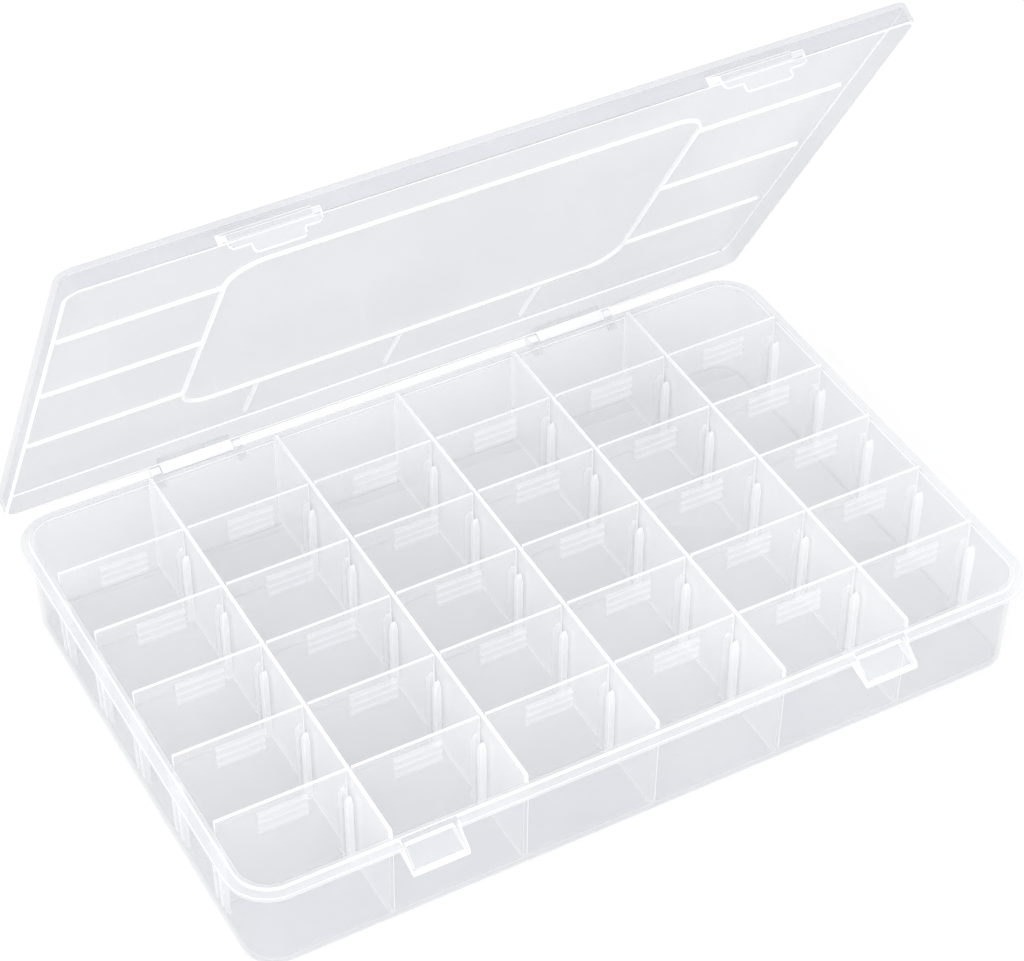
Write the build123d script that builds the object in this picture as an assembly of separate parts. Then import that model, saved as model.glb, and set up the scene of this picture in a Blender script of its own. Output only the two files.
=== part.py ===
from build123d import *
import os
from math import atan, cos, degrees, radians, sin, sqrt, tan

# Compartment storage box: a clear moulded tray with fixed walls and lift-out dividers,
# and a shallow lid that snaps onto two hinge pins and closes with two front latches.
# Millimetres. +X runs along the long side, -Y is the latch side, +Y the hinge side, +Z up.
# The origin is the centre of the tray's bottom face, which the box stands on.

# Compartments
columns = 6
rows = 6
cell_width = 43.2           # clear width of a column, between two fixed walls
cell_depth = 27.75          # clear depth of an inner row, between two dividers
end_cell_depth = 26.6       # the front and back rows are a little shorter
web_thickness = 1.2         # fixed wall between two columns
web_height = 39.2           # top of the fixed walls and the dividers above the table
web_end_radius = 1.0        # rounded top corner where a fixed wall drops to the rim

# Tray shell
wall_thickness = 1.4
floor_thickness = 1.5
draft = 1.2                 # degrees that the outer walls lean out from the floor upwards
rim_drop = 3.0              # the rim lies this far below the tops of the fixed walls
rim_corner_radius = 10.0    # inside corner, seen from above, at the rim
foot_radius = 2.5           # rounded edge under the tray
floor_fillet = 1.5          # inside, where the outer walls meet the floor
flange_width = 3.0
flange_thickness = 1.5
flange_drop = 1.1           # the flange lies this far below the rim

# Guide ribs, in pairs with a slot between them, on both faces of every wall
guide_reach = 1.8           # how far a rib stands out from its wall
guide_width = 2.4
guide_drop = 10.0           # a rib ends this far below the top of the fixed walls
guide_head = 2.5            # height of its tapered lead-in
guide_tip = 0.8             # width left at the tip of the lead-in

# Dividers
divider_thickness = 1.2
slot_clearance = 0.25       # between a divider and a guide rib, on each face
divider_clearance = 0.13    # between a divider and the walls at the floor, at each end
divider_foot_relief = 0.5   # its foot corners are cut off further than the tray's fillet reaches
grip_width = 16.0
grip_drop = 2.5             # from the divider's top edge down to its grip
grip_plate = 0.6            # thickness of the raised plate under the ridges
grip_ridges = 3
grip_pitch = 3.0            # from one ridge to the next
ridge_height = 1.6
ridge_crest = 0.8           # height of a ridge's flat front
ridge_proud = 0.6

# Lid
lid_thickness = 1.2
lid_headroom = 1.05         # between the dividers and the lid's ribs when the lid is shut
skirt_thickness = 1.3
lid_corner_radius = 5.5
lid_inset = 0.2             # the lid's edge lies this far inside the flange's edge
lid_seat_gap = 0.1          # between the skirt and the flange when the lid is shut
lid_edge_radius = 0.9       # rounded outer edge of the plate
lid_open_angle = 60.0       # degrees from shut, in the modelled pose
rib_width = 1.1
rib_height = 1.0
panel_side_margin = 57.5    # rounded rectangle of ribs: from the lid's side edges to the panel
panel_front_margin = 37.0
panel_back_margin = 34.2
panel_radius = 12.0
side_rib_count = 3          # on each side of the panel
side_rib_pitch = 41.2
side_rib_gap = 4.0          # between those ribs and the skirt
rear_rib_count = 3          # between the panel and the hinge side
rear_rib_pitch = 51.3
rear_rib_gap = 6.7          # between those ribs and the rear skirt

# Hinges
hinge_inset = 67.0          # from the end of the flange to the middle of a hinge
hinge_width = 32.0          # over its two lugs
lug_thickness = 3.0
lug_radius = 2.4
pin_radius = 1.5
pin_overhang = 2.25         # pin centre behind the flange's edge
pin_drop = 1.4              # pin centre below the top of the flange
pin_clearance = 0.08        # radial, between a pin and its clip
clip_thickness = 1.3
clip_side_gap = 0.3         # between a clip and a lug
clip_swing_gap = 0.4        # between a clip and the notch in the flange
clip_mouth = 100.0          # degrees of the ring left open, to snap over the pin
clip_arm = 2.4              # height of the arm that joins a clip to the skirt

# Latches
latch_inset = 59.4          # from the end of the flange to the middle of a latch
tab_width = 18.6            # catch tab: a hollow ramp that slopes out and down from the rim
tab_reach = 5.5             # how far its lip stands out beyond the flange
ramp_drop = 6.4             # from the rim down to the top of the lip
ramp_thickness = 1.2
lip_height = 1.7            # upright lip along the ramp's lower edge
lip_thickness = 1.2
cheek_thickness = 1.2       # side walls under the ramp's ends
cheek_height = 6.2          # of those, where they meet the tray's wall
hook_width = 28.4           # latch hook on the lid's front skirt
hook_thickness = 1.2
hook_drop = 5.0             # how far its sides reach below the skirt
hook_gap = 0.4              # between the barb and the lip when the lid is shut
hook_root_height = 2.9      # how far above the skirt's edge the hook leaves the skirt
hook_shoulder_drop = 0.6    # how far below the skirt's edge it turns down
hook_corner_radius = 2.0
pull_width = 16.0           # narrower finger pull below the hook, which carries the barb
pull_corner_radius = 1.5
catch_proud = 0.3           # bead on the lip, and the barb on the hook that passes it
catch_height = 1.2          # of the bead and of the barb
catch_play = 0.1            # between the barb and the bead above it

# Sizes that follow from the ones above
column_pitch = cell_width + web_thickness
row_pitch = cell_depth + divider_thickness
inner_length = columns * cell_width + (columns - 1) * web_thickness
inner_depth = (rows - 2) * cell_depth + 2 * end_cell_depth + (rows - 1) * divider_thickness
rim_height = web_height - rim_drop
flange_height = rim_height - flange_drop
draft_slope = tan(radians(draft))
flange_length = inner_length + 2 * (wall_thickness + flange_width)
flange_depth = inner_depth + 2 * (wall_thickness + flange_width)
flange_radius = rim_corner_radius + wall_thickness + flange_width
front_edge = -flange_depth / 2
back_edge = flange_depth / 2
guide_height = web_height - guide_drop
slot_width = divider_thickness + 2 * slot_clearance
skirt_low = flange_height + lid_seat_gap
lid_inner = web_height + lid_headroom + rib_height
lid_top = lid_inner + lid_thickness
lid_length = flange_length - 2 * lid_inset
lid_depth = flange_depth - 2 * lid_inset
hinge_x = flange_length / 2 - hinge_inset
hinge_y = back_edge + pin_overhang
hinge_z = flange_height - pin_drop
hinge_axis = Axis((0, hinge_y, hinge_z), (-1, 0, 0))
clip_bore = pin_radius + pin_clearance
clip_radius = clip_bore + clip_thickness
clip_width = hinge_width - 2 * lug_thickness - 2 * clip_side_gap
latch_x = flange_length / 2 - latch_inset
wall_face = front_edge + flange_width
lip_face = front_edge - tab_reach
lip_top = rim_height - ramp_drop
tab_low = lip_top - lip_height
ramp_slope = ramp_drop / (wall_face - lip_face)
hook_low = tab_low - catch_play - catch_height / 2
web_places = [(i - (columns - 2) / 2) * column_pitch for i in range(columns - 1)]
row_places = [((rows - 2) / 2 - j) * row_pitch for j in range(rows - 1)]
sides = (-1, 1)


def wall_in(z):
    """How far the drafted outer wall stands in from its place at the rim, at height z."""
    return (rim_height - z) * draft_slope


def drafted_block(length, depth, radius, low, foot_fillet):
    """Rounded block up to the rim that leans out with the draft. Sizes are those at the rim."""
    inset = wall_in(low)
    foot = RectangleRounded(length - 2 * inset, depth - 2 * inset, radius - inset)
    block = extrude(Pos(0, 0, low) * foot, rim_height - low, taper=-draft)
    return fillet(block.faces().sort_by(Axis.Z)[0].edges(), foot_fillet)


def cross_section(points, start, width):
    """Outline in Y and Z, carried along X from start over width."""
    outline = Plane.YZ.offset(start) * Polygon(*points, align=None)
    return extrude(outline, width, dir=(1, 0, 0))


def x_cylinder(radius, width):
    """Cylinder about the X axis, centred on the origin."""
    return Rot(0, 90, 0) * Cylinder(radius, width)


# The inner face of the end walls at the floor, and the outer columns beside it

end_face = inner_length / 2 - wall_in(floor_thickness)
last_web_face = web_places[-1] + web_thickness / 2
end_column = (end_face + last_web_face) / 2
divider_columns = [-end_column] + [x + column_pitch / 2 for x in web_places[:-1]] + [end_column]


# Tray

def tray_shell():
    """Floor and four drafted outer walls."""
    outer = drafted_block(inner_length + 2 * wall_thickness, inner_depth + 2 * wall_thickness,
                          rim_corner_radius + wall_thickness, 0, foot_radius)
    return outer - drafted_block(inner_length, inner_depth, rim_corner_radius,
                                 floor_thickness, floor_fillet)


def tray_flange():
    """Flat lip outside the rim that the lid's skirt rests on, notched for the hinge clips."""
    outline = RectangleRounded(flange_length, flange_depth, flange_radius)
    hole = RectangleRounded(inner_length + wall_thickness, inner_depth + wall_thickness,
                            rim_corner_radius + wall_thickness / 2)
    ring = extrude(Pos(0, 0, flange_height - flange_thickness) * (outline - hole), flange_thickness)
    notch_width = clip_width + 2 * clip_side_gap
    notch_low = hinge_y - clip_radius - clip_swing_gap
    notch = Box(notch_width, 2 * clip_radius, 4 * flange_thickness,
                align=(Align.CENTER, Align.MIN, Align.CENTER))
    for side in sides:
        ring -= Pos(side * hinge_x, notch_low, flange_height) * notch
    return ring


def web_feet():
    """Fixed walls between the columns, up to the rim and into the middle of the outer walls."""
    low = floor_thickness / 2
    foot = Box(web_thickness, inner_depth + wall_thickness, rim_height - low,
               align=(Align.CENTER, Align.CENTER, Align.MIN))
    return [Pos(x, 0, low) * foot for x in web_places]


def web_crests():
    """The fixed walls above the rim, which drop to it with round corners."""
    height = rim_drop + web_end_radius
    crest = Rectangle(inner_depth, height, align=(Align.CENTER, Align.MAX))
    crest = fillet(crest.vertices().group_by(Axis.Y)[-1], web_end_radius)
    solid = extrude(Plane.YZ * crest, web_thickness / 2, both=True)
    return [Pos(x, 0, web_height) * solid for x in web_places]


def guide_ribs():
    """A pair of ribs for each divider, on both faces of every wall, with tapered lead-ins."""
    rib_offset = (slot_width + guide_width) / 2
    through = Rectangle(web_thickness + 2 * guide_reach, guide_width)
    end_reach = guide_reach + inner_length / 2 + wall_thickness - end_face
    end_rib = Rectangle(end_reach, guide_width)
    end_place = end_face - guide_reach + end_reach / 2
    plan = Sketch()
    for y in row_places:
        for step in sides:
            rib_y = y + step * rib_offset
            plan += [Pos(x, rib_y) * through for x in web_places]
            plan += [Pos(end * end_place, rib_y) * end_rib for end in sides]
    low = floor_thickness / 2
    shoulder = guide_height - guide_head
    taper = degrees(atan((guide_width - guide_tip) / 2 / guide_head))
    ribs = extrude(Pos(0, 0, low) * plan, shoulder - low)
    return ribs + extrude(Pos(0, 0, shoulder) * plan, guide_head, taper=taper)


def tray_hinge(side):
    """Moulded pin between two lugs behind the flange."""
    place = Pos(side * hinge_x, hinge_y, hinge_z)
    lug_place = (hinge_width - lug_thickness) / 2
    root_depth = pin_overhang + flange_width + wall_thickness / 2
    root = Box(lug_thickness, root_depth, pin_drop + lug_radius,
               align=(Align.CENTER, Align.MAX, Align.MIN))
    lug = x_cylinder(lug_radius, lug_thickness) + Pos(0, 0, -lug_radius) * root
    solid = x_cylinder(pin_radius, hinge_width - lug_thickness)
    solid += [Pos(end * lug_place, 0, 0) * lug for end in sides]
    return place * solid


def ramp_cut(side):
    """What is taken off the flange above a ramp, so that its face runs on up to the rim."""
    above = [(wall_face, rim_height), (lip_face, lip_top), (lip_face, rim_height)]
    return cross_section(above, side * latch_x - tab_width / 2, tab_width)


def tray_tab(side):
    """Catch tab: a ramp from the rim down to an upright lip, with a side wall at each end."""
    start = side * latch_x - tab_width / 2
    root = wall_face + wall_thickness / 2
    lip_back = lip_face + lip_thickness
    ramp_height = ramp_thickness * sqrt(1 + ramp_slope ** 2)
    ramp = [(root, rim_height), (wall_face, rim_height), (lip_face, lip_top), (lip_face, tab_low),
            (lip_back, tab_low), (lip_back, lip_top + lip_thickness * ramp_slope - ramp_height),
            (wall_face, rim_height - ramp_height), (root, rim_height - ramp_height)]
    cheek = [(root, rim_height), (wall_face, rim_height), (lip_face, lip_top), (lip_face, tab_low),
             (wall_face, rim_height - cheek_height), (root, rim_height - cheek_height)]
    bead = [(lip_back, tab_low + catch_height), (lip_face, tab_low + catch_height),
            (lip_face - catch_proud, tab_low), (lip_back, tab_low)]
    tab = cross_section(ramp, start, tab_width) + cross_section(bead, start, tab_width)
    tab += cross_section(cheek, start, cheek_thickness)
    return tab + cross_section(cheek, start + tab_width - cheek_thickness, cheek_thickness)


def make_tray():
    core = drafted_block(inner_length + wall_thickness, inner_depth + wall_thickness,
                         rim_corner_radius + wall_thickness / 2, floor_thickness / 2,
                         (foot_radius + floor_fillet) / 2)
    inside = (guide_ribs() + web_feet()) & core
    tray = tray_shell() + tray_flange() + inside + web_crests()
    for side in sides:
        tray += tray_hinge(side)
        tray -= ramp_cut(side)
        tray += tray_tab(side)
    return tray


# Dividers

def make_divider():
    """Flat divider, standing on the origin, with a ridged grip near the top of its front face."""
    width = end_face - last_web_face - 2 * divider_clearance
    height = web_height - floor_thickness
    plate = Rectangle(width, height, align=(Align.CENTER, Align.MIN))
    plate = chamfer(plate.vertices().group_by(Axis.Y)[0], floor_fillet + divider_foot_relief)
    solid = extrude(Plane.XZ * plate, divider_thickness / 2, both=True)
    face = -divider_thickness / 2
    grip_top = height - grip_drop
    grip = Box(grip_width, grip_plate, grip_ridges * grip_pitch,
               align=(Align.CENTER, Align.MAX, Align.MAX))
    solid += Pos(0, face, grip_top) * grip
    for k in range(grip_ridges):
        middle = grip_top - (k + 0.5) * grip_pitch
        root = face - grip_plate / 2
        out = face - grip_plate
        ridge = [(root, middle - ridge_height / 2), (out, middle - ridge_height / 2),
                 (out - ridge_proud, middle - ridge_crest / 2),
                 (out - ridge_proud, middle + ridge_crest / 2),
                 (out, middle + ridge_height / 2), (root, middle + ridge_height / 2)]
        solid += cross_section(ridge, -grip_width / 2, grip_width)
    return solid


# Lid, modelled shut and then swung open about the hinge pins

def lid_shell():
    """Plate with a skirt all round, open below."""
    outline = RectangleRounded(lid_length, lid_depth, lid_corner_radius)
    body = extrude(Pos(0, 0, skirt_low) * outline, lid_top - skirt_low)
    body = fillet(body.faces().sort_by(Axis.Z)[-1].edges(), lid_edge_radius)
    hollow = RectangleRounded(lid_length - 2 * skirt_thickness, lid_depth - 2 * skirt_thickness,
                              lid_corner_radius - skirt_thickness)
    return body - extrude(Pos(0, 0, skirt_low) * hollow, lid_inner - skirt_low)


def lid_ribs():
    """Stiffening ribs under the plate: a rounded panel, and short ribs beside and behind it."""
    panel_side = lid_length / 2 - panel_side_margin
    panel_front = -lid_depth / 2 + panel_front_margin
    panel_back = lid_depth / 2 - panel_back_margin
    panel_middle = (panel_front + panel_back) / 2
    depth = panel_back - panel_front
    plan = RectangleRounded(2 * panel_side + rib_width, depth + rib_width, panel_radius + rib_width / 2)
    plan -= RectangleRounded(2 * panel_side - rib_width, depth - rib_width, panel_radius - rib_width / 2)
    plan = Pos(0, panel_middle) * plan
    side_end = lid_length / 2 - skirt_thickness - side_rib_gap
    side_rib = Rectangle(side_end - panel_side, rib_width)
    for k in range(side_rib_count):
        y = panel_middle + (k - (side_rib_count - 1) / 2) * side_rib_pitch
        plan += [Pos(end * (side_end + panel_side) / 2, y) * side_rib for end in sides]
    rear_end = lid_depth / 2 - skirt_thickness - rear_rib_gap
    rear_rib = Rectangle(rib_width, rear_end - panel_back)
    for k in range(rear_rib_count):
        x = (k - (rear_rib_count - 1) / 2) * rear_rib_pitch
        plan += Pos(x, (panel_back + rear_end) / 2) * rear_rib
    return extrude(Pos(0, 0, lid_inner - rib_height) * plan, rib_height + lid_thickness / 2)


def lid_clip(side):
    """Open ring that snaps over a pin, on an arm behind the rear skirt."""
    place = Pos(side * hinge_x, hinge_y, hinge_z)
    arm_reach = hinge_y - (lid_depth / 2 - skirt_thickness / 2)
    arm = Box(clip_width, arm_reach, clip_arm, align=(Align.CENTER, Align.MAX, Align.MIN))
    solid = x_cylinder(clip_radius, clip_width) + Pos(0, 0, clip_bore) * arm
    solid -= x_cylinder(clip_bore, clip_width)
    reach = 2 * clip_radius
    half_mouth = radians(clip_mouth / 2)
    mouth = [(0, 0), (-reach * sin(half_mouth), -reach * cos(half_mouth)),
             (reach * sin(half_mouth), -reach * cos(half_mouth))]
    return place * (solid - cross_section(mouth, -clip_width / 2, clip_width))


def lid_hook(side):
    """Latch hook: it slopes out from the front skirt over the ramp and hangs down outside its lip."""
    start = side * latch_x - hook_width / 2
    skirt_face = -lid_depth / 2
    bury = skirt_face + skirt_thickness / 2
    root_low = skirt_low + lid_seat_gap
    root_high = skirt_low + hook_root_height
    shoulder = skirt_low - hook_shoulder_drop
    inner = lip_face - hook_gap - catch_proud
    outer = inner - hook_thickness
    outline = [(bury, root_high), (skirt_face, root_high), (outer, shoulder), (outer, hook_low),
               (inner, hook_low), (inner, shoulder - hook_thickness),
               (skirt_face, root_low), (bury, root_low)]
    barb_root = inner - hook_thickness / 2
    barb_tip = (lip_face - hook_gap, hook_low + catch_height / 2)
    barb = [(barb_root, hook_low), (inner, hook_low), barb_tip,
            (inner, hook_low + catch_height), (barb_root, hook_low + catch_height)]
    hook = cross_section(outline, start, hook_width) + cross_section(barb, start, hook_width)
    sides_low = skirt_low - hook_drop
    body = Rectangle(hook_width, root_high - sides_low, align=(Align.CENTER, Align.MIN))
    body = fillet(body.vertices().group_by(Axis.Y)[0], hook_corner_radius)
    pull = Rectangle(pull_width, root_high - hook_low, align=(Align.CENTER, Align.MIN))
    pull = fillet(pull.vertices().group_by(Axis.Y)[0], pull_corner_radius)
    shape = Pos(0, sides_low - hook_low) * body + pull
    mask = extrude(Plane.XZ * Pos(side * latch_x, hook_low) * shape, flange_depth)
    return hook & mask


def make_lid():
    lid = lid_shell() + lid_ribs()
    for side in sides:
        lid += lid_clip(side)
        lid += lid_hook(side)
    return lid.rotate(hinge_axis, lid_open_angle)


os.makedirs("parts", exist_ok=True)
export_step(make_tray(), "parts/tray.step")
export_step(make_lid(), "parts/lid.step")
divider = make_divider()
for column, x in enumerate(divider_columns, start=1):
    for row, y in enumerate(row_places, start=1):
        placed = Pos(x, y, floor_thickness) * divider
        export_step(placed, f"parts/divider_c{column}_r{row}.step")
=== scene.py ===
from math import cos, pi, radians, sin

import bmesh
import bpy
import numpy as np
from mathutils import Matrix, Vector
from mathutils.bvhtree import BVHTree


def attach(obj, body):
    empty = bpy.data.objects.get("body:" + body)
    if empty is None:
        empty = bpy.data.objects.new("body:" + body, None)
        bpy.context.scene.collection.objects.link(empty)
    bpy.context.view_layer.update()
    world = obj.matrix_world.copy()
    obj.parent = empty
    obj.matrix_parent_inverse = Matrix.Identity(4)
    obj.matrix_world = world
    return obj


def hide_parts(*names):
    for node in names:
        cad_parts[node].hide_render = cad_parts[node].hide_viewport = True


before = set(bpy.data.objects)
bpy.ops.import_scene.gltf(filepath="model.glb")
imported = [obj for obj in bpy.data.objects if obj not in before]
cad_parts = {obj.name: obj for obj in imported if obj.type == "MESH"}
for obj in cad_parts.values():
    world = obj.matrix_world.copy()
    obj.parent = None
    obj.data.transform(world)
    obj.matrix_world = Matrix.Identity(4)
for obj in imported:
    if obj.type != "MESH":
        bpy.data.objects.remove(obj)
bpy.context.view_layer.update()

# A clear compartment storage box, moulded in milky-clear polypropylene, on a white sweep.
# Metres throughout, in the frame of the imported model.

scene = bpy.context.scene
mm = 0.001


# Camera

view = {
    "aim": (12.388 * mm, 27.331 * mm, 40 * mm),   # a point on the view axis
    "distance": 965.25 * mm,
    "heading": 28.897,       # degrees from +Y towards +X
    "elevation": 42.419,     # degrees that the camera looks down
    "roll": 0.20,            # degrees that the right side of the frame is tipped up
    "lens": 105.64,          # this and the sensor as a camera gives them, in millimetres
    "sensorWidth": 36,
    "nearest": 10 * mm,      # what is nearer to the lens isn't seen
}


def placeCamera():
    heading, down, roll = (radians(view[k]) for k in ("heading", "elevation", "roll"))
    forward = Vector((sin(heading) * cos(down), cos(heading) * cos(down), -sin(down)))
    level = Vector((cos(heading), -sin(heading), 0))
    right = level * cos(roll) + level.cross(forward) * sin(roll)
    turn = Matrix((right, right.cross(forward), -forward)).transposed()
    place = Vector(view["aim"]) - forward * view["distance"]
    camera = bpy.data.objects.new("camera", bpy.data.cameras.new("camera"))
    scene.collection.objects.link(camera)
    camera.matrix_world = Matrix.Translation(place) @ turn.to_4x4()
    camera.data.lens = view["lens"]
    camera.data.sensor_width = view["sensorWidth"]
    camera.data.clip_start = view["nearest"]
    scene.camera = camera


placeCamera()
print("camera placed")


# Materials

def linearColour(hexColour):
    # from sRGB, as the standard has it: a straight foot, then a power
    channels = np.array([int(hexColour[i:i + 2], 16) for i in (1, 3, 5)]) / 255
    low, high = channels / 12.92, ((channels + 0.055) / 1.055) ** 2.4
    return (*np.where(channels <= 0.04045, low, high).tolist(), 1.0)


def addNode(tree, kind, values=None, links=None, **settings):
    # sockets are named, or numbered where several share a name
    node = tree.nodes.new(kind)
    for name, value in settings.items():
        setattr(node, name, value)
    for socket, value in (values or {}).items():
        node.inputs[socket].default_value = value
    for socket, output in (links or {}).items():
        tree.links.new(output, node.inputs[socket])
    return node


# Polypropylene copolymer, injection moulded in a polished tool. It is glossy and a little cloudy,
# with the faint swirl of the melt flow in its gloss.
polypropylene = {
    "ior": 1.49,
    "roughness": (0.16, 0.26),   # where the swirl is glossiest and where it is dullest
    "swirlSize": 22 * mm,        # streaks of melt flow
    "swirlDetail": 3,
    "swirlSpan": (0.3, 0.7),     # the stretch of the noise that the roughness follows
    "swirlHeight": 0.003 * mm,
    "cloudSize": 60 * mm,        # slow changes in cloudiness
    "cloudDetail": 2,
    "cloudSpan": (0.35, 0.65),   # the stretch of the noise that the colour follows
    "textureSize": 0.9 * mm,     # tool marks, drawn coarse enough to show
    "textureDetail": 2,
    "textureHeight": 0.0004 * mm,
}

# How it looks at each place. A thin wall lets most light by, a thick place scatters more of it and
# looks milky. alpha is the share of light that the face stops, pale and deep are its colours from
# cloud to cloud. The colours also hold painted light and shade, as lit and shaded copies of one
# plastic: grey on the outer walls, the lid and the floor for painted shade, white on the walls between
# columns and the dividers for painted light, and white on ribs and narrow faces for a painted glow of
# the light that runs inside the wall, over the real milkiness of their depth.
looks = {
    # painted shade: the tray's outer walls are greyer than the same plastic inside
    "trayWall": {"alpha": 0.24, "pale": "#DADCE1", "deep": "#D0D3D9"},
    # painted light: the walls between columns are white, lighter than the outer walls of the same plastic
    "trayWeb": {"alpha": 0.38, "pale": "#FFFFFF", "deep": "#FBFBFC"},   # the walls between columns
    # painted shade: the floors are the greyest, for the shade at the bottom of the compartments
    "floor": {"alpha": 0.27, "pale": "#C9CCD3", "deep": "#BFC2CA"},
    # painted shade: the lid's plate and skirt are grey, for the shade on the lid's underside
    "lidPlate": {"alpha": 0.34, "pale": "#D4D6DC", "deep": "#CBCED4"},
    "lidSkirt": {"alpha": 0.34, "pale": "#D8DADF", "deep": "#CFD2D7"},
    # painted light: the dividers and their grips are near white, lighter than the outer walls of the same
    # plastic
    "divider": {"alpha": 0.17, "pale": "#FAFBFC", "deep": "#F2F4F7"},
    "grip": {"alpha": 0.36, "pale": "#FAFBFC", "deep": "#F2F4F7"},      # ridges to hold a divider by
    "tab": {"alpha": 0.22, "pale": "#E6E8EC", "deep": "#DDDFE4"},       # latch hooks and catch ramps
    "rim": {"alpha": 0.40, "pale": "#F2F3F5", "deep": "#EAECEF"},
    # painted glow: the ribs and narrow faces are white, for light that runs inside the wall and comes out
    # there, over the real milkiness of their depth
    "rib": {"alpha": 0.86, "pale": "#FFFFFF", "deep": "#FCFCFD"},
    "edge": {"alpha": 0.96, "pale": "#FFFFFF", "deep": "#FCFCFD"},
}


def makePolypropylene(name, look):
    material = bpy.data.materials.new(name)
    material.use_nodes = True
    tree = material.node_tree
    tree.nodes.clear()
    place = addNode(tree, "ShaderNodeTexCoord").outputs["Object"]
    cloud, swirl, grain = (
        addNode(tree, "ShaderNodeTexNoise",
                {"Scale": 1 / polypropylene[pattern + "Size"], "Detail": polypropylene[pattern + "Detail"]},
                {"Vector": place}).outputs["Fac"]
        for pattern in ("cloud", "swirl", "texture"))

    low, high = polypropylene["cloudSpan"]
    tone = addNode(tree, "ShaderNodeMapRange", {"From Min": low, "From Max": high}, {"Value": cloud})
    # a Mix node of colours has its share at 0, its two colours at 6 and 7, and its result at 2
    colour = addNode(tree, "ShaderNodeMix",
                     {6: linearColour(look["deep"]), 7: linearColour(look["pale"])},
                     {0: tone.outputs["Result"]}, data_type="RGBA")

    low, high = polypropylene["swirlSpan"]
    glossiest, dullest = polypropylene["roughness"]
    gloss = addNode(tree, "ShaderNodeMapRange",
                    {"From Min": low, "From Max": high, "To Min": glossiest, "To Max": dullest},
                    {"Value": swirl})

    flow = addNode(tree, "ShaderNodeBump", {"Distance": polypropylene["swirlHeight"]}, {"Height": swirl})
    marks = addNode(tree, "ShaderNodeBump", {"Distance": polypropylene["textureHeight"]},
                    {"Height": grain, "Normal": flow.outputs["Normal"]})

    shader = addNode(tree, "ShaderNodeBsdfPrincipled",
                     {"IOR": polypropylene["ior"], "Alpha": look["alpha"]},
                     {"Base Color": colour.outputs[2], "Roughness": gloss.outputs["Result"],
                      "Normal": marks.outputs["Normal"]})
    addNode(tree, "ShaderNodeOutputMaterial", links={"Surface": shader.outputs["BSDF"]})
    return material


plastics = {name: makePolypropylene("clearPolypropylene" + name[0].upper() + name[1:], look)
            for name, look in looks.items()}


# Mouldings

moulding = {
    "mergeDistance": 0.002 * mm,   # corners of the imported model's triangles this near are one
    "sliverSize": 0.001 * mm,      # edges and triangles this small are dropped
    "flatAngle": 0.6,              # degrees, faces that bend less than this become one
    "smoothAngle": 30,             # degrees, a surface runs on over edges blunter than this
    "edgeWidth": 1.32 * mm,        # a surface no wider than this is a wall seen edge-on,
    "ridgeArea": 28 * mm ** 2,     # or if it is smaller than this, part of a small rib
    "ribWidth": 3.2 * mm,          # up to this width, or with ribDepth of plastic under it or more,
    "ribDepth": 1.75 * mm,         # it is part of a rib,
    "rimArea": 150 * mm ** 2,      # or if it is at least this large, of the rim or flange
    "innerArea": 600 * mm ** 2,    # any other surface smaller than this is a latch tab's,
    "outerArea": 8000 * mm ** 2,   # up to this an inner wall's or the skirt's, above it an outer
    "levelCosine": 0.9,            # wall's or the plate's, and where it is this level, the floor
    "edgeRound": 0.15 * mm,        # how far a moulded edge is rounded
    "cornerRound": 0.45 * mm,      # and the inner corner all round under the lid's plate
    "roundSteps": 2,
}
surfaceKinds = ("outer", "floor", "inner", "tab", "rim", "rib", "edge")


def smoothSurfaces(bm):
    # lists of faces that run on into each other with no sharp edge between them
    found, surfaces = set(), []
    for first in bm.faces:
        if first in found:
            continue
        found.add(first)
        surface = [first]
        for face in surface:
            for edge in face.edges:
                if edge.calc_face_angle(pi) < radians(moulding["smoothAngle"]):
                    ahead = [f for f in edge.link_faces if f not in found]
                    found.update(ahead)
                    surface.extend(ahead)
        surfaces.append(surface)
    return surfaces


def plasticDepth(surface, areas, tree):
    # how deep the plastic is straight in under each face, and of these depths the middle one
    # when they are put in order and each counts by its face's area
    depths = []
    for face in surface:
        start = face.calc_center_median() - face.normal * moulding["sliverSize"]
        hit = tree.ray_cast(start, -face.normal)
        depths.append(hit[3] or 0.0)
    order = np.argsort(depths)
    share = np.cumsum(areas[order]) / areas.sum()
    return depths[order[np.searchsorted(share, 0.5)]]


def surfaceKind(surface, tree):
    # a surface's width is twice its area over its outline's length
    inside = set(surface)
    outline = {e for f in surface for e in f.edges if not inside.issuperset(e.link_faces)}
    areas = np.array([f.calc_area() for f in surface])
    area = areas.sum()
    width = 2 * area / sum(e.calc_length() for e in outline)
    if width <= moulding["edgeWidth"]:
        return "rib" if area < moulding["ridgeArea"] else "edge"
    if width <= moulding["ribWidth"] or plasticDepth(surface, areas, tree) >= moulding["ribDepth"]:
        return "rib" if area < moulding["rimArea"] else "rim"
    if area < moulding["innerArea"]:
        return "tab"
    return "inner" if area < moulding["outerArea"] else "outer"


def markRounding(bm, wideCorners):
    # a share of cornerRound for every sharp edge: the whole for an inner corner of two walls if
    # corners are wide, and what edgeRound is of it for all others
    share = bm.edges.layers.float.new("bevel_weight_edge")
    walls = [surfaceKinds.index(kind) for kind in ("outer", "inner")]
    for edge in bm.edges:
        angle = edge.calc_face_angle_signed(0)
        if abs(angle) < radians(moulding["smoothAngle"]):
            continue
        corner = angle < 0 and all(f.material_index in walls for f in edge.link_faces)
        edge[share] = 1 if corner and wideCorners else moulding["edgeRound"] / moulding["cornerRound"]


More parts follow.
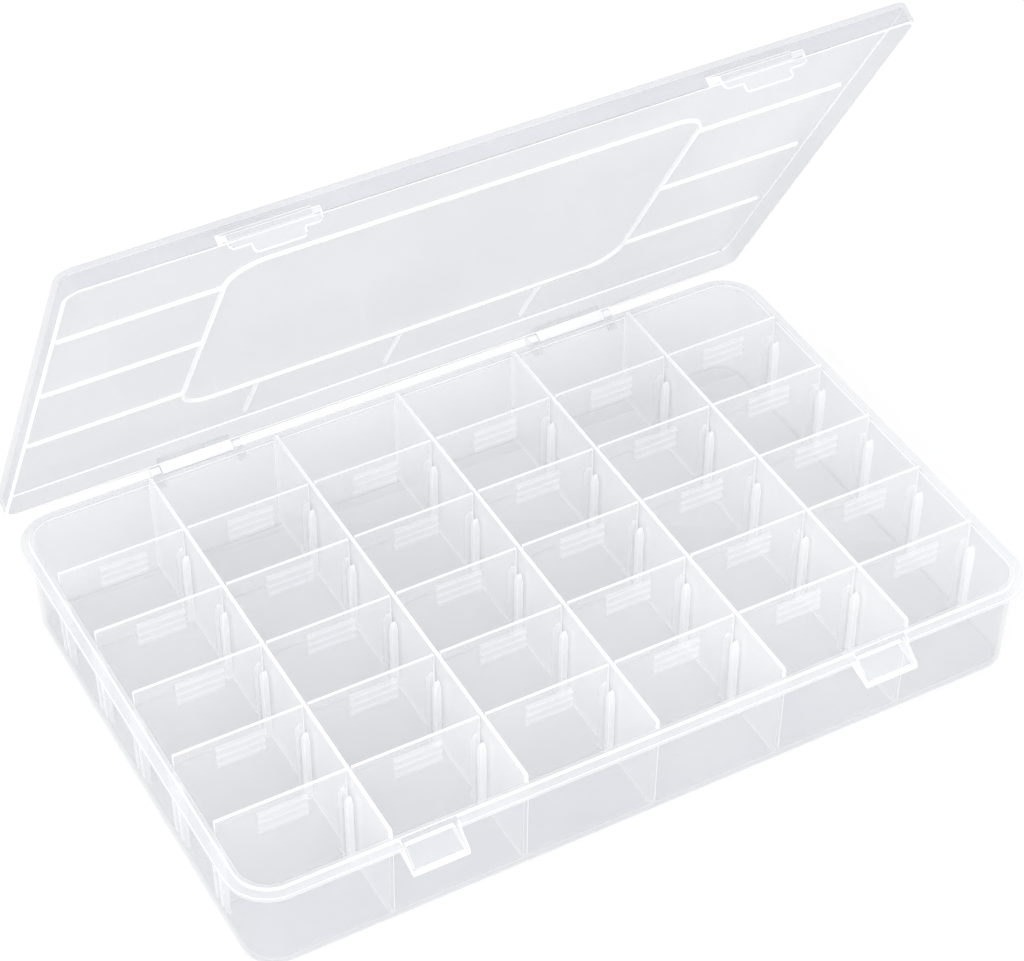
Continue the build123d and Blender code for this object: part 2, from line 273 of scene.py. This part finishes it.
def mouldedMesh(nodeName, pieceName, wideCorners):
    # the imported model's loose triangles merged into whole faces, each marked with its kind
    bm = bmesh.new()
    bm.from_mesh(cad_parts[nodeName].data)
    bmesh.ops.remove_doubles(bm, verts=bm.verts, dist=moulding["mergeDistance"])
    bmesh.ops.dissolve_degenerate(bm, dist=moulding["sliverSize"], edges=bm.edges)
    bm.normal_update()
    tree = BVHTree.FromBMesh(bm)
    for surface in smoothSurfaces(bm):
        kind = surfaceKind(surface, tree)
        for face in surface:
            # level outer faces, the tray's floor among them, take the floor's colour with its painted shade
            level = kind == "outer" and abs(face.normal.z) > moulding["levelCosine"]
            face.material_index = surfaceKinds.index("floor" if level else kind)
            face.smooth = True
    bmesh.ops.dissolve_limit(bm, angle_limit=radians(moulding["flatAngle"]), verts=bm.verts,
                             edges=bm.edges, delimit={"MATERIAL"})
    bmesh.ops.connect_verts_concave(bm, faces=bm.faces)
    markRounding(bm, wideCorners)
    mesh = bpy.data.meshes.new(pieceName)
    bm.to_mesh(mesh)
    bm.free()
    return mesh


def roundEdges(piece, paintedGlowEdges):
    rounding = piece.modifiers.new("rounded edges", "BEVEL")
    rounding.width = moulding["cornerRound"]
    rounding.segments = moulding["roundSteps"]
    rounding.limit_method = "WEIGHT"
    rounding.use_clamp_overlap = False
    # the rounded strips take the white edge colour: a painted highlight and glow along every edge
    if paintedGlowEdges:
        rounding.material = surfaceKinds.index("edge")
    shading = piece.modifiers.new("flat faces shaded flat", "WEIGHTED_NORMAL")
    shading.keep_sharp = True


def finishMoulding(nodeName, ownLooks, wideCorners=False, paintedGlowEdges=True):
    # each moulding is one node on a body of the same name
    pieceName = "clear_" + nodeName
    mesh = mouldedMesh(nodeName, pieceName, wideCorners)
    for kind in surfaceKinds:
        mesh.materials.append(plastics[ownLooks.get(kind, kind)])
    piece = bpy.data.objects.new(pieceName, mesh)
    scene.collection.objects.link(piece)
    roundEdges(piece, paintedGlowEdges)
    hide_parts(nodeName)
    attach(piece, nodeName)


finishMoulding("tray", {"outer": "trayWall", "inner": "trayWeb"})
print("tray finished")
finishMoulding("lid", {"outer": "lidPlate", "inner": "lidSkirt"}, wideCorners=True)
print("lid finished")
for nodeName in sorted(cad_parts):
    if nodeName.startswith("divider"):
        finishMoulding(nodeName,
                       {"outer": "divider", "inner": "divider", "rib": "grip"}, paintedGlowEdges=False)
print("dividers finished")


# Floor, backdrop and light

studio = {
    "floorSize": 12.0,
    "floorBounce": 0.90,         # how much light the floor gives back
    "floorSeen": 0.50,           # share of the floor's tone that shading and shadow decide
    "floorGlow": 0.48,           # the rest of its white
    "skyStrength": 0.97,
    "lampSize": 1.6,
    "keyPower": 14.0,            # soft box on the left
    "keyPlace": (-1.5, -0.8, 1.3),
    "fillPower": 12.0,           # and a low one in front, for the inside of the lid
    "fillPlace": (0.3, -2.2, 0.5),
    "wallsSeenThrough": 64,      # the eye looks through many clear walls at once,
    "bounces": 24,
    "bouncesFromWalls": 16,      # and light wanders from wall to wall
}


def seenDirectly(tree):
    # 1 for rays from the camera, off a gloss or through glass, and 0 for light on the object
    rays = addNode(tree, "ShaderNodeLightPath").outputs
    seen = addNode(tree, "ShaderNodeMath", links={0: rays["Is Camera Ray"], 1: rays["Is Glossy Ray"]},
                   operation="MAXIMUM")
    return addNode(tree, "ShaderNodeMath", links={0: seen.outputs[0], 1: rays["Is Transmission Ray"]},
                   operation="MAXIMUM").outputs[0]


def makeFloor():
    half = studio["floorSize"] / 2
    mesh = bpy.data.meshes.new("floor")
    mesh.from_pydata([(-half, -half, 0), (half, -half, 0), (half, half, 0), (-half, half, 0)], [],
                     [(0, 1, 2, 3)])
    floor = bpy.data.objects.new("floor", mesh)
    scene.collection.objects.link(floor)
    material = bpy.data.materials.new("whiteSweep")
    material.use_nodes = True
    tree = material.node_tree
    tree.nodes.clear()
    bounce = addNode(tree, "ShaderNodeBsdfDiffuse", {"Color": (*[studio["floorBounce"]] * 3, 1)})
    shaded = addNode(tree, "ShaderNodeBsdfDiffuse", {"Color": (*[studio["floorSeen"]] * 3, 1)})
    glow = addNode(tree, "ShaderNodeEmission", {"Strength": studio["floorGlow"]})
    white = addNode(tree, "ShaderNodeAddShader", links={0: shaded.outputs[0], 1: glow.outputs[0]})
    mix = addNode(tree, "ShaderNodeMixShader",
                  links={0: seenDirectly(tree), 1: bounce.outputs[0], 2: white.outputs[0]})
    addNode(tree, "ShaderNodeOutputMaterial", links={"Surface": mix.outputs[0]})
    mesh.materials.append(material)


def makeSky():
    world = bpy.data.worlds.new("studio")
    scene.world = world
    world.use_nodes = True
    tree = world.node_tree
    tree.nodes.clear()
    strength = addNode(tree, "ShaderNodeMapRange", {"To Min": studio["skyStrength"], "To Max": 1.0},
                       {"Value": seenDirectly(tree)})
    sky = addNode(tree, "ShaderNodeBackground", {"Color": (1, 1, 1, 1)},
                  {"Strength": strength.outputs["Result"]})
    addNode(tree, "ShaderNodeOutputWorld", links={"Surface": sky.outputs[0]})


def makeLamp(name, place, power):
    data = bpy.data.lights.new(name, "AREA")
    data.shape, data.size, data.energy = "SQUARE", studio["lampSize"], power
    lamp = bpy.data.objects.new(name, data)
    scene.collection.objects.link(lamp)
    lamp.location = place
    lamp.rotation_euler = (Vector(view["aim"]) - Vector(place)).to_track_quat("-Z", "Y").to_euler()
    lamp.visible_camera = False


makeFloor()
makeSky()
makeLamp("key light", studio["keyPlace"], studio["keyPower"])
makeLamp("fill light", studio["fillPlace"], studio["fillPower"])
scene.view_settings.view_transform = "Standard"
scene.cycles.transparent_max_bounces = studio["wallsSeenThrough"]
scene.cycles.max_bounces = studio["bounces"]
scene.cycles.diffuse_bounces = studio["bouncesFromWalls"]
print("studio lit")
